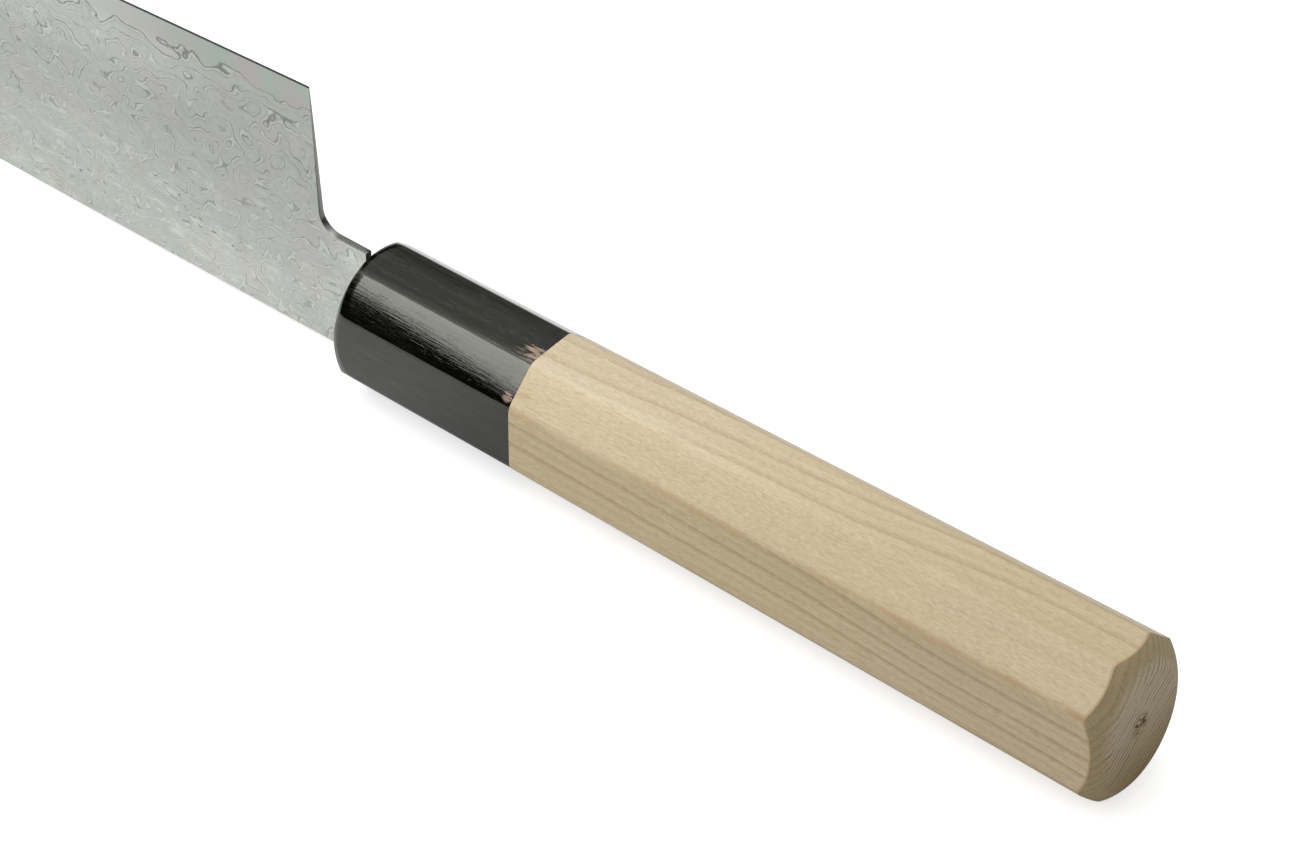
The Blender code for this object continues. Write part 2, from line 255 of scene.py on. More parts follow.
FLOOR_SIZE = 12.0
LAMP_AIM = (-0.075, 0.0, 0.02)
KEY_BOX = {"turn": 52.0, "lift": 51.0, "distance": 0.65, "size": (0.40, 0.34)}
TOP_BOX = {"turn": -60.0, "lift": 76.0, "distance": 0.90, "size": (0.70, 0.40)}
SENSOR_WIDTH = 36.0
CAMERA_CLIP = (0.01, 50.0)
CAMERA_PLACE = (-0.446398, 0.431644, 0.515126)
CAMERA_TURN = (47.7608, -0.8771, -141.1636)


def blend(start, end, share):
    """Value a share of the way from start to end."""
    return start + (end - start) * share


def near(first, second):
    """Whether two numbers are the same, but for rounding."""
    return abs(first - second) < NEARBY


def butt_mount():
    """The record's flat face on the butt, which gives the handle's axis."""
    mounts = frame["record"]["mounts"]
    return next(mount for mount in mounts if mount["name"] == "butt_end")


def knife_to_world():
    """Places the knife's own axes, with the ferrule's front at its origin, on the frame."""
    mount = butt_mount()
    back = Vector(mount["axis"]).normalized()
    pitch = math.asin(back.z)
    front = Vector(mount["pos_m"]) - back * bpy.context.scene.gyuto_handle.length
    return Matrix.Translation(front) @ Matrix.Rotation(pitch, 4, "Y")


def joint_place(offset=(0.0, 0.0, 0.0)):
    """Place on the frame of the joint between horn and wood, with an offset."""
    joint_x = -bpy.context.scene.gyuto_handle.horn_length
    return knife_to_world() @ (Vector((joint_x, 0.0, 0.0)) + Vector(offset))


# Steps of modelling by hand.


def deselect_all():
    """Starts each piece with nothing selected."""
    if bpy.context.mode != "OBJECT":
        leave_edit()
    bpy.ops.object.select_all(action="DESELECT")


def make_active(piece):
    """Selects only this piece."""
    deselect_all()
    piece.select_set(True)
    bpy.context.view_layer.objects.active = piece


def edit(piece):
    """Enters edit mode on this piece."""
    make_active(piece)
    bpy.ops.object.mode_set(mode="EDIT")


def leave_edit():
    """Returns to object mode."""
    bpy.ops.object.mode_set(mode="OBJECT")


def added(name):
    """Names the primitive just added."""
    piece = bpy.context.object
    piece.name = name
    piece.data.name = name
    return piece


def pick_from(piece, kind):
    """Enters edit mode for points, edges or faces, with nothing selected."""
    edit(piece)
    bpy.ops.mesh.select_mode(type=kind)
    bpy.ops.mesh.select_all(action="DESELECT")


def select(piece, kind, wanted):
    """Enters edit mode with the points, edges or faces selected that the test picks.

    The test sees a point's place, the places of an edge's ends, or a face's normal and centre.
    """
    pick_from(piece, kind)
    leave_edit()
    mesh = piece.data
    if kind == "VERT":
        for vertex in mesh.vertices:
            vertex.select = wanted(vertex.co)
    elif kind == "EDGE":
        for edge in mesh.edges:
            edge.select = wanted(*(mesh.vertices[index].co for index in edge.vertices))
    else:
        for face in mesh.polygons:
            face.select = wanted(face.normal, face.center)
    bpy.ops.object.mode_set(mode="EDIT")


def resize(value, x=0.0):
    """Scales what is selected about a point on the handle's axis."""
    bpy.ops.transform.resize(value=value, center_override=(x, 0.0, 0.0))


def extrude(by):
    """Extrudes the selected face along the handle's axis."""
    bpy.ops.mesh.extrude_region_move(TRANSFORM_OT_translate={"value": (by, 0.0, 0.0)})


def block(name, front_x, back_x, width, height):
    """Cube sized and placed along the handle's axis, left in edit mode."""
    deselect_all()
    bpy.ops.mesh.primitive_cube_add(size=1.0, location=(0.0, 0.0, 0.0))
    bar = added(name)
    edit(bar)
    bpy.ops.mesh.select_all(action="SELECT")
    resize((front_x - back_x, width, height))
    bpy.ops.transform.translate(value=((front_x + back_x) / 2, 0.0, 0.0))
    return bar


def round_bar(name, sides, radius, length, middle_x):
    """Cylinder along the handle's axis."""
    deselect_all()
    bpy.ops.mesh.primitive_cylinder_add(
        vertices=sides,
        radius=radius,
        depth=length,
        rotation=(0.0, math.pi / 2, 0.0),
        location=(middle_x, 0.0, 0.0),
    )
    bar = added(name)
    bpy.ops.object.transform_apply(location=True, rotation=True, scale=True)
    return bar


def cut(piece, operation, cutter):
    """Applies one exact boolean and removes the cutter."""
    make_active(piece)
    modifier = piece.modifiers.new(cutter.name, "BOOLEAN")
    modifier.operation = operation
    modifier.solver = "EXACT"
    modifier.object = cutter
    bpy.ops.object.modifier_apply(modifier=modifier.name)
    bpy.data.objects.remove(cutter, do_unlink=True)


def finish_piece(piece, angle):
    """Shades the piece, gives it its place on the frame and lets it ride there."""
    make_active(piece)
    bpy.ops.object.shade_smooth_by_angle(angle=math.radians(angle))
    weighted = piece.modifiers.new("weighted", "WEIGHTED_NORMAL")
    weighted.keep_sharp = True
    bpy.ops.object.modifier_apply(modifier=weighted.name)
    piece.data.transform(knife_to_world())
    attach(piece, "root")


# Handle shapes. A taper is a bar's front place and section, and its back place and section.


def octagonal_bar(name, taper, crown, rounding):
    """Octagonal bar along a taper, its facets crowned and its ridges softened."""
    front_x, front, back_x, back = taper
    front, back = sunk(front, crown), sunk(back, crown)
    taper = (front_x, front, back_x, back)
    bar = block(name, front_x, back_x, front[0], front[1])
    select(bar, "EDGE", lambda a, b: not near(a.x, b.x))
    bpy.ops.mesh.bevel(offset=(front[0] - front[2]) / 2, offset_type="OFFSET", segments=1)
    leave_edit()
    for x, section in ((front_x, front), (back_x, back)):
        shape_ring(bar, x, section, front[0] / 2)
    select(bar, "EDGE", lambda a, b: near(a.x, b.x))
    bpy.ops.mesh.subdivide(number_cuts=FACET_STRIPS - 1)
    leave_edit()
    crown_facets(bar, taper, crown)
    select(bar, "EDGE", lambda a, b: is_ridge(a, taper) and not near(a.x, b.x))
    bpy.ops.mesh.bevel(offset=rounding, offset_type="OFFSET", segments=RIDGE_SEGMENTS)
    leave_edit()
    return bar


def sunk(section, crown):
    """Section whose ridges lie a crown's height inside, so the crowned facets reach its size."""
    width, height, edge_facet, side_facet = section
    return (width - 2 * crown, height - 2 * crown, edge_facet, side_facet)


def shape_ring(bar, x, section, side):
    """Scales the ridges at one end, first those beside the side facets, then the others."""
    width, height, edge_facet, side_facet = section
    ring = [v.co.copy() for v in bar.data.vertices if near(v.co.x, x)]
    low = next(co for co in ring if near(abs(co.y), side))
    high = next(co for co in ring if not near(abs(co.y), side))
    select(bar, "VERT", lambda co: near(co.x, x) and near(abs(co.y), side))
    resize((1.0, width / 2 / abs(low.y), side_facet / 2 / abs(low.z)), x)
    select(bar, "VERT", lambda co: near(co.x, x) and beside(co, high))
    resize((1.0, edge_facet / 2 / abs(high.y), height / 2 / abs(high.z)), x)
    leave_edit()


def beside(co, ridge):
    """Whether a point is the ridge's own or its mirror image."""
    return near(abs(co.y), abs(ridge.y)) and near(abs(co.z), abs(ridge.z))


def section_corners(section):
    """The eight ridges (y, z) of a section, in order round it."""
    half_width, half_height, half_edge, half_side = (size / 2 for size in section)
    quarter = [(half_width, half_side), (half_edge, half_height)]
    upper = quarter + [(-y, z) for y, z in reversed(quarter)]
    return upper + [(-y, -z) for y, z in upper]


def section_at(x, taper):
    """Section at x between a taper's two ends."""
    front_x, front, back_x, back = taper
    share = (x - front_x) / (back_x - front_x)
    return [blend(a, b, share) for a, b in zip(front, back)]


def butt_ridges():
    """Section of the grip where its turned butt begins."""
    handle = bpy.context.scene.gyuto_handle
    taper = (-handle.horn_length, JOINT_SECTION, -handle.length, BUTT_SECTION)
    return section_at(BUTT["depth"] - handle.length, taper)


def is_ridge(co, taper):
    """Whether a point lies on one of the eight ridges."""
    corners = section_corners(section_at(co.x, taper))
    return any(math.hypot(co.y - y, co.z - z) < ON_RIDGE for y, z in corners)


def crown_facets(bar, taper, crown):
    """Lifts each facet's middle into a shallow arc, as hand sanding leaves it."""
    for vertex in bar.data.vertices:
        corners = section_corners(section_at(vertex.co.x, taper))
        for (y0, z0), (y1, z1) in zip(corners, corners[1:] + corners[:1]):
            side = Vector((y1 - y0, z1 - z0))
            away = Vector((vertex.co.y - y0, vertex.co.z - z0))
            share = away.dot(side) / side.length_squared
            outward = Vector((side.y, -side.x)).normalized()
            if OFF_CORNER < share < 1 - OFF_CORNER and abs(away.dot(outward)) < ON_RIDGE:
                lift = crown * 4 * share * (1 - share)
                vertex.co.y += outward.x * lift
                vertex.co.z += outward.y * lift
                break


def turning(end, section):
    """First and last lean, arc radius and body radius of a turned end with this section."""
    start, stop = (math.radians(lean) for lean in end["leans"])
    arc = end["depth"] / (math.sin(stop) - math.sin(start))
    return start, stop, arc, math.hypot(section[0] / 2, section[3] / 2 / end["oval"])


def turned_body(name, face_x, inward, end, section):
    """Oval body with a domed end: a cone, pushed out and drawn in step by step to a flat face.

    Inward is -1 where the handle lies on the -X side of the face and 1 where it lies on the other.
    """
    start, stop, arc, radius = turning(end, section)
    ridge_x = face_x + inward * end["depth"]
    back_x = ridge_x + inward * OVERCUT
    body = round_bar(name, TURNED_SIDES, radius, OVERCUT, ridge_x + inward * OVERCUT / 2)
    select(body, "FACE", lambda normal, centre: near(centre.x, back_x))
    grown = (radius + OVERCUT * math.tan(start)) / radius
    resize((1.0, grown, grown), back_x)
    extrude(inward * TURNED_REACH)
    select(body, "FACE", lambda normal, centre: near(centre.x, ridge_x))
    x, across = ridge_x, radius
    for step in range(1, TURNED_STEPS + 1):
        lean = blend(start, stop, step / TURNED_STEPS)
        new_x = ridge_x - inward * arc * (math.sin(lean) - math.sin(start))
        new_across = radius - arc * (math.cos(start) - math.cos(lean))
        extrude(new_x - x)
        resize((1.0, new_across / across, new_across / across), new_x)
        x, across = new_x, new_across
    bpy.ops.mesh.select_all(action="SELECT")
    resize((1.0, 1.0, end["oval"]))
    bpy.ops.mesh.normals_make_consistent(inside=False)
    leave_edit()
    return body


def soften_nose(horn):
    """Rounds the edge where the facets meet the turned nose, as buffing does."""
    pick_from(horn, "EDGE")
    bpy.ops.mesh.edges_select_sharp(sharpness=NOSE_EDGE)
    leave_edit()
    points = horn.data.vertices
    back_x, inner = NOSE_ZONE
    for edge in horn.data.edges:
        middle = (points[edge.vertices[0]].co + points[edge.vertices[1]].co) / 2
        across = math.hypot(middle.y, middle.z)
        edge.select = edge.select and middle.x > back_x and across > inner
    bpy.ops.object.mode_set(mode="EDIT")
    bpy.ops.mesh.bevel(offset=NOSE_SOFTENING, offset_type="OFFSET", segments=3, clamp_overlap=True)
    leave_edit()


def tapered_bar(name, front_x, front, back_x, back):
    """Flat bar between two ends, each a height and a thickness."""
    bar = block(name, front_x, back_x, front[1], front[0])
    select(bar, "FACE", lambda normal, centre: near(normal.x, -1.0))
    resize((1.0, back[1] / front[1], back[0] / front[0]), back_x)
    leave_edit()
    return bar


def hollow(piece, joint_x):
    """Cuts the dowel's bore and the tang's slot."""
    bore = round_bar("dowel_bore", BORE_SIDES, BORE_DIAMETER / 2, BORE_LENGTH, joint_x)
    cut(piece, "DIFFERENCE", bore)
    front, back = ([size + 2 * SLOT_CLEARANCE for size in end] for end in (TANG_FRONT, TANG_END))
    slot = tapered_bar("tang_slot", OVERCUT, front, -TANG_LENGTH - SLOT_CLEARANCE, back)
    cut(piece, "DIFFERENCE", slot)


# Blade outline and section.


def blade_share(x):
    """How far x lies from the heel to the tip, from 0 to 1."""
    blade = bpy.context.scene.gyuto_blade
    return min(max((x - blade.neck_length) / blade.length, 0.0), 1.0)


def spine_z(x):
    """Height of the spine at x."""
    blade = bpy.context.scene.gyuto_blade
    share = blade_share(x)
    fall = SPINE_SLOPE * share * blade.length
    return -blade.neck_height / 2 - fall + SPINE_DROP * share**SPINE_POWER


def edge_z(x):
    """Height of the cutting edge at x."""
    blade = bpy.context.scene.gyuto_blade
    share = blade_share(x)
    heel = blade.heel_height - blade.neck_height / 2
    tip = spine_z(blade.neck_length + blade.length) + TIP_HEIGHT
    belly = heel - EDGE_SLOPE * blade.length - EDGE_SAG - tip
    fall = EDGE_SLOPE * share * blade.length
    return heel - fall - EDGE_SAG * share**2 - belly * share**BELLY_POWER


def half_thickness(x, z):
    """Half of the convex ground section's thickness."""
    blade = bpy.context.scene.gyuto_blade
    high, low = edge_z(x), spine_z(x)
    taper = 1.0 - blade_share(x) ** DISTAL_POWER
    spine = blend(blade.tip_thickness, blade.heel_thickness, taper)
    share = min(max((high - z) / (high - low), 0.0), 1.0)
    return blend(EDGE_THICKNESS, spine, share**GRIND_POWER) / 2


def upper_outline():
    """Points (x, z) with their inward normals along the neck, choil, heel and edge."""
    blade = bpy.context.scene.gyuto_blade
    heel_z = blade.heel_height - blade.neck_height / 2
    neck_z = blade.neck_height / 2
    radius = blade.heel_radius
    lean = math.atan(blade.heel_lean)
    centre_z = neck_z + radius
    drop = heel_z - centre_z
    centre_x = blade.neck_length - blade.heel_lean * drop - radius / math.cos(lean)
    points = []
    for step in range(NECK_STEPS):
        points.append((blend(SHOULDER_GAP, centre_x, step / NECK_STEPS), neck_z, 0.0, -1.0))
    for step in range(ARC_STEPS):
        turn = blend(-math.pi / 2, -lean, step / ARC_STEPS)
        along, up = math.cos(turn), math.sin(turn)
        points.append((centre_x + radius * along, centre_z + radius * up, along, up))
    low_x = centre_x + radius * math.cos(lean)
    low_z = centre_z - radius * math.sin(lean)
    for step in range(HEEL_STEPS):
        share = step / HEEL_STEPS
        x, z = blend(low_x, blade.neck_length, share), blend(low_z, heel_z, share)
        points.append((x, z, math.cos(lean), -math.sin(lean)))
    for step in range(EDGE_STEPS + 1):
        left = 1 - step / EDGE_STEPS
        x = blade.neck_length + blade.length * (1 - left**EDGE_CROWDING)
        points.append((x, edge_z(x), 0.0, -1.0))
    return points


def column_points(index, outline):
    """Points of one column of the right face, from the upper outline to the spine."""
    blade = bpy.context.scene.gyuto_blade
    x0, z0, in_x, in_z = outline[index]
    rim_count = NECK_STEPS + ARC_STEPS + HEEL_STEPS
    if index < rim_count:
        foot_x = blend(SHOULDER_GAP, blade.neck_length + FAN_REACH, index / rim_count)
    else:
        foot_x = x0 + FAN_REACH * (1 - blade_share(x0)) ** 2
    foot_z = spine_z(foot_x)
    thin, thick = half_thickness(x0, z0), half_thickness(foot_x, foot_z)
    easing, low_easing = (min(RIM_EASING, THIN_EASING * half) for half in (thin, thick))
    rise, inset = 1 - math.sin(RIM_TURN), 1 - math.cos(RIM_TURN)
    part = easing * rise
    column = [
        (x0, thin - easing, z0),
        (x0 + in_x * part, thin - easing * inset, z0 + in_z * part),
    ]
    for row in range(FACE_ROWS + 1):
        place = (row / FACE_ROWS) ** ROW_CROWDING
        x = blend(x0 + in_x * easing, foot_x, place)
        z = blend(z0 + in_z * easing, foot_z + low_easing, place)
        column.append((x, half_thickness(x, z), z))
    column.append((foot_x, thick - low_easing * inset, foot_z + low_easing * rise))
    column.append((foot_x, thick - low_easing, foot_z))
    return column


def blade_face():
    """Right face of the blade: a plane grid laid over its outline and convex grind."""
    outline = upper_outline()
    columns = [column_points(index, outline) for index in range(len(outline))]
    across, down = len(columns) - 1, len(columns[0]) - 1
    deselect_all()
    bpy.ops.mesh.primitive_grid_add(x_subdivisions=across, y_subdivisions=down, size=1.0)
    face = added("blade")
    for vertex in face.data.vertices:
        column = round((vertex.co.x + 0.5) * across)
        vertex.co = columns[column][round((0.5 - vertex.co.y) * down)]
    return face


def close_blade(face):
    """Mirrors the face and bridges the two round their rims."""
    edit(face)
    bpy.ops.mesh.select_all(action="SELECT")
    bpy.ops.mesh.duplicate()
    resize((1.0, -1.0, 1.0))
    pick_from(face, "EDGE")
    bpy.ops.mesh.select_non_manifold()
    bpy.ops.mesh.bridge_edge_loops()
    bpy.ops.mesh.select_all(action="SELECT")
    bpy.ops.mesh.normals_make_consistent(inside=False)
    leave_edit()


def measure_blade(piece):
    """Stores how far each point lies below the cutting edge and in front of the heel."""
    blade = bpy.context.scene.gyuto_blade
    below = piece.data.attributes.new("from_edge", "FLOAT", "POINT")
    ahead = piece.data.attributes.new("from_heel", "FLOAT", "POINT")
    for vertex in piece.data.vertices:
        below.data[vertex.index].value = edge_z(vertex.co.x) - vertex.co.z
        ahead.data[vertex.index].value = vertex.co.x - blade.neck_length


# Materials.


class Value:
    """Output of a node. Sums and steps written with it add the nodes that work them out."""

    def __init__(self, nodes, socket):
        self.nodes = nodes
        self.socket = socket

    def math(self, operation, second=0.0):
        return self.nodes.math(operation, self, second)

    def __add__(self, other):
        return self.math("ADD", other)

    def __sub__(self, other):
        return self.math("SUBTRACT", other)

    def __rsub__(self, other):
        return self.nodes.math("SUBTRACT", other, self)

    def __mul__(self, other):
        return self.math("MULTIPLY", other)

    def __truediv__(self, other):
        return self.math("DIVIDE", other)

    def __rtruediv__(self, other):
        return self.nodes.math("DIVIDE", other, self)

    def __pow__(self, other):
        return self.math("POWER", other)

    def __abs__(self):
        return self.math("ABSOLUTE")

    def or_more(self, other):
        return self.math("MAXIMUM", other)

    def step(self, low, high, start=0.0, end=1.0):
        """Goes smoothly from start to end between low and high."""
        given = (self, low, high, start, end)
        return self.nodes.out("ShaderNodeMapRange", 0, *given, interpolation_type="SMOOTHSTEP")

    def scaled(self, scale, location=(0.0, 0.0, 0.0), turn=(0.0, 0.0, 0.0)):
        return self.nodes.out("ShaderNodeMapping", 0, self, location, turn, scale)

    def split(self):
        node = self.nodes.add("ShaderNodeSeparateXYZ", self)
        return [Value(self.nodes, socket) for socket in node.outputs]

    def measure(self, operation, *other):
        return self.nodes.out("ShaderNodeVectorMath", "Value", self, *other, operation=operation)

    def noise(self, scale, detail=2.0, roughness=0.5, distortion=0.0):
        node = self.nodes.add("ShaderNodeTexNoise", self)
        given = {"Scale": scale, "Detail": detail, "Roughness": roughness, "Distortion": distortion}
        for name, value in given.items():
            self.nodes.feed(node.inputs[name], value)
        return Value(self.nodes, node.outputs[0])


class Nodes:
    """Adds nodes to a tree from left to right and links them."""

    def __init__(self, tree, place=0):
        self.tree = tree
        self.place = place

    def add(self, kind, *inputs, **settings):
        """Adds a node and feeds its first inputs."""
        node = self.tree.nodes.new(kind)
        for name, value in settings.items():
            setattr(node, name, value)
        for socket, value in zip(node.inputs, inputs):
            self.feed(socket, value)
        node.location = (180 * (self.place // 4), -220 * (self.place % 4))
        self.place += 1
        return node

    def out(self, kind, output, *inputs, **settings):
        """Adds a node and gives one of its outputs."""
        return Value(self, self.add(kind, *inputs, **settings).outputs[output])

    def feed(self, socket, value):
        """Links a value to a socket, or sets the socket where it is a constant."""
        if isinstance(value, Value):
            self.tree.links.new(value.socket, socket)
        elif socket.type == "RGBA":
            socket.default_value = (*value, 1.0)
        else:
            socket.default_value = value

    def math(self, operation, first, second=0.0, clamp=False):
        return self.out("ShaderNodeMath", 0, first, second, operation=operation, use_clamp=clamp)

    def mix(self, factor, first, second, blend_type="MIX"):
        node = self.add("ShaderNodeMix", factor, data_type="RGBA", blend_type=blend_type)
        self.feed(node.inputs[6], first)
        self.feed(node.inputs[7], second)
        return Value(self, node.outputs[2])

    def paint(self, base, *coats):
        """Lays coats over a colour, each a share and its own colour."""
        for share, coat in coats:
            base = self.mix(share, base, coat)
        return base

    def join(self, x, y, z):
        return self.out("ShaderNodeCombineXYZ", 0, x, y, z)

    def rays(self, *names):
        """Whether each of these kinds of ray looks at the surface."""
        path = self.add("ShaderNodeLightPath")
        return [Value(self, path.outputs[f"Is {name} Ray"]) for name in names]

    def group(self, name, **values):
        """Places a shader group with its own values."""
        node = self.add("ShaderNodeGroup", node_tree=bpy.data.node_groups[name])
        for label, value in values.items():
            self.feed(node.inputs[label], value)
        return {socket.name: Value(self, socket) for socket in node.outputs}


class Finish(Nodes):
    """Nodes of one material, with its shader and the piece's own coordinates."""

    def __init__(self, name):
        self.material = bpy.data.materials.new(name)
        self.material.use_nodes = True
        super().__init__(self.material.node_tree, place=4)
        self.shader = self.tree.nodes["Principled BSDF"]
        self.spot = self.out("ShaderNodeTexCoord", "Object")

    def streaks(self, length, thickness, detail=3.0):
        """Fine streaks along the knife."""
        values = {"Length": length, "Thickness": thickness, "Detail": detail}
        return self.group("streaks", Vector=self.spot, **values)["Streak"]

    def on_knife(self):
        """Place in the knife's own axes, from the ferrule's front."""
        place = knife_to_world().inverted()
        return self.spot.scaled((1.0, 1.0, 1.0), place.translation, place.to_euler()).split()

    def shade(self, values):
        """Sets and links the shader's inputs."""
        for name, value in values.items():
            self.feed(self.shader.inputs[name], value)

    def bump(self, height, distance):
        """Surface relief from a height."""
        node = self.add("ShaderNodeBump")
        self.feed(node.inputs["Distance"], distance)
        self.feed(node.inputs["Height"], height)
        self.shade({"Normal": Value(self, node.outputs[0])})


def node_group(name, **inputs):
    """New shader group. Each input has its default, and one of None is a vector."""
    group = bpy.data.node_groups.new(name, "ShaderNodeTree")
    for label, value in inputs.items():
        kind = "NodeSocketVector" if value is None else "NodeSocketFloat"
        socket = group.interface.new_socket(label, in_out="INPUT", socket_type=kind)
        if value is not None:
            socket.default_value = value
    nodes = Nodes(group)
    entry = nodes.add("NodeGroupInput")
    return nodes, {socket.name: Value(nodes, socket) for socket in entry.outputs}


def finish_group(nodes, **results):
    """Gives the group its named outputs."""
    for label in results:
        nodes.tree.interface.new_socket(label, in_out="OUTPUT", socket_type="NodeSocketFloat")
    leave = nodes.add("NodeGroupOutput")
    for label, value in results.items():
        nodes.feed(leave.inputs[label], value)


def layer_lines_group():
    """Contour lines of ground layered steel: closed loops round islands, dark, each with a pale
    side that is a painted highlight for light on the etched relief.

    Ramp lifts the layers one after another away from the cutting edge, Wander moves them about,
    and Ragged breaks them up into short waves.
    """
    inputs = {"Wander": 8.0, "Ragged": 0.4, "Scale": 185.0, "Width": 0.080, "Stretch": 1.2}
    nodes, given = node_group("layer_lines", Vector=None, Ramp=0.0, **inputs)
    scale, width = given["Scale"], given["Width"]
    spot = given["Vector"].scaled(nodes.join(1.0 / given["Stretch"], 1.0, 1.0))
    islands = spot.noise(scale, 1.0, 0.45, 0.20)
    hills = spot.noise(scale * 0.38, 1.0)
    moved = (islands + hills * 0.70 - 0.85) * given["Wander"]
    waves = spot.noise(scale * 4.2, 2.5)
    level = given["Ramp"] + moved + waves * given["Ragged"]
    thick = spot.noise(scale * 1.7, 1.0)
    line = line_at(level, 0.5, width * thick.step(0.50, 0.68, 1.0, 2.0))
    finish_group(
        nodes,
        Level=level,
        Line=line * thick.step(0.50, 0.68, 1.0, 0.80),
        Echo=line_at(level, 0.76, width * 1.2),
        # Painted highlight on one side of each line.
        Pale=line_at(level, 0.63, width * 1.8),
    )


def line_at(level, place, width):
    """Line where the level's fraction passes a place."""
    shifted = (level + (1.5 - place)).math("FRACT")
    return abs(shifted - 0.5).step(0.0, width, 1.0, 0.0)


def streaks_group():
    """Fine streaks that run along the knife, for horn, wood fibre and brushed steel."""
    nodes, given = node_group("streaks", Vector=None, Length=0.010, Thickness=0.0003, Detail=3.0)
    across = 1.0 / given["Thickness"]
    spot = given["Vector"].scaled(nodes.join(1.0 / given["Length"], across, across))
    finish_group(nodes, Streak=spot.noise(1.0, given["Detail"], 0.6))


def growth_rings_group():
    """Growth rings of plain timber as slightly wavy sheets, so that every cut shows its own grain.

    Facing is the surface's own direction: a facet that lies along the sheets shows them faintly.
    """
    nodes, given = node_group("growth_rings", Vector=None, Facing=None, Spacing=0.00140, Lean=39.0)
    spot, lean = given["Vector"], given["Lean"].math("RADIANS")
    sheet = nodes.join(0.0, lean.math("SINE"), lean.math("COSINE"))
    slow = spot.scaled((11.0, 22.0, 22.0)).noise(1.0, 1.0)
    quick = spot.scaled((24.0, 170.0, 170.0)).noise(1.0, 2.0)
    place = spot.measure("DOT_PRODUCT", sheet) + slow * 0.0065 + quick * 0.0012
    count = place / given["Spacing"]
    share = count.math("FRACT")
    ring = share.step(0.25, 0.92) * share.step(0.92, 1.0, 1.0, 0.0)
    ring = ring * abs(given["Facing"].measure("DOT_PRODUCT", sheet)).step(0.74, 0.97, 1.0, 0.12)
    which = nodes.add("ShaderNodeTexWhiteNoise", noise_dimensions="1D")
    nodes.feed(which.inputs["W"], count.math("FLOOR"))
    chosen = Value(nodes, which.outputs["Value"]).step(0.45, 0.80)
    finish_group(nodes, Ring=ring, Bold=ring * chosen)


def lit(colour, factor):
    """Colour brightened or darkened by a factor."""
    return [part * factor for part in colour]


def layered_steel():
    """Faces of the blade: etched layer lines, and bare core steel along the cutting edge."""
    blade = bpy.context.scene.gyuto_blade
    steel = Finish("layered_steel")
    depth = steel.out("ShaderNodeAttribute", "Fac", attribute_name="from_edge")
    along = steel.out("ShaderNodeAttribute", "Fac", attribute_name="from_heel")
    low, far = depth.step(0.014, 0.034), along.step(0.015, 0.055)
    rise = (depth.or_more(0.0) / GROUND_HEIGHT) ** 0.5
    first_layer = LAYER_COUNT * (blade.core_band / GROUND_HEIGHT) ** 0.5
    loops = steel.group(
        "layer_lines",
        Vector=steel.spot,
        Ramp=rise * LAYER_COUNT - (first_layer - 0.35),
        Wander=depth.step(0.003, 0.013, 3.6, 7.5),
        Ragged=(far + low).step(0.7, 2.0, 0.56, 1.15),
    )
    cladding = loops["Level"].step(0.46, 0.54)
    surface = steel.paint(
        (0.392, 0.452, 0.385),
        (steel.spot.noise(110.0, 1.0).step(0.40, 0.60), (0.442, 0.420, 0.410)),
        (far, lit(blade.steel_colour, 1.10)),
        (cladding, etched_cladding(steel, loops, depth, along, low, far)),
        (abs(loops["Level"] - 0.5).step(0.0, 0.13, 0.8, 0.0), lit(blade.line_colour, 0.9)),
    )
    # Painted light: the satin's brightness is multiplied into the colour.
    surface = steel.mix(1.0, surface, painted_satin_light(depth, along, far), "MULTIPLY")
    surface = steel.mix(depth.step(0.00034, 0.00046, 1.0, 0.0), surface, (0.040, 0.046, 0.050))
    rough = cladding.step(0.0, 1.0, 0.24, 0.31) + steel.streaks(0.006, 0.00012) * 0.05
    steel.shade({"Base Color": surface, "Metallic": 1.0, "Roughness": rough})
    steel.bump(loops["Line"] * cladding, -0.000006)
    return steel.material


def etched_cladding(steel, loops, depth, along, low, far):
    """Cladding with its dark lines, a painted highlight beside each line for light on the etched
    relief, and the pits.
    """
    blade = bpy.context.scene.gyuto_blade
    quiet = (low * along.step(-0.006, 0.020, 0.65, 1.0)).or_more(far * 0.4)
    strength = steel.spot.noise(190.0, 1.0).step(0.34, 0.60, 0.50, 1.0)
    strength = strength * quiet.step(0.0, 1.0, 1.0, 0.60)
    return steel.paint(
        steel_ground(steel, low, far),
        # Painted highlight: the pale side of each line stands in for light on the etched relief.
        (loops["Pale"] * 0.70, lit(blade.steel_colour, 1.22)),
        (loops["Line"] * strength, blade.line_colour),
        (loops["Echo"] * (strength * 0.42), blade.line_colour),
        (etched_pits(steel, depth, along), lit(blade.line_colour, 0.50)),
    )


def painted_satin_light(depth, along, far):
    """Painted light on the satin steel: a factor, multiplied into its colour, that brightens it
    towards the tip and the spine, at the foot of the blade, in a band under its edge and at the
    neck, standing in for the brighter reflections there.
    """
    light = far.step(0.0, 1.0, 0.81, 0.87) + depth.step(0.016, 0.046, 0.0, 0.27)
    foot = depth.step(0.034, 0.042, 0.0, 0.12) * (1.0 - far) * along.step(0.0, 0.024, 0.45, 1.3)
    band = depth.step(0.003, 0.006) * depth.step(0.010, 0.016, 0.09, 0.0)
    neck = depth.step(0.028, 0.036, 0.20, 0.0) * along.step(-0.009, -0.001, 1.0, 0.0)
    return light + (foot + band * along.step(0.015, 0.032)) + neck


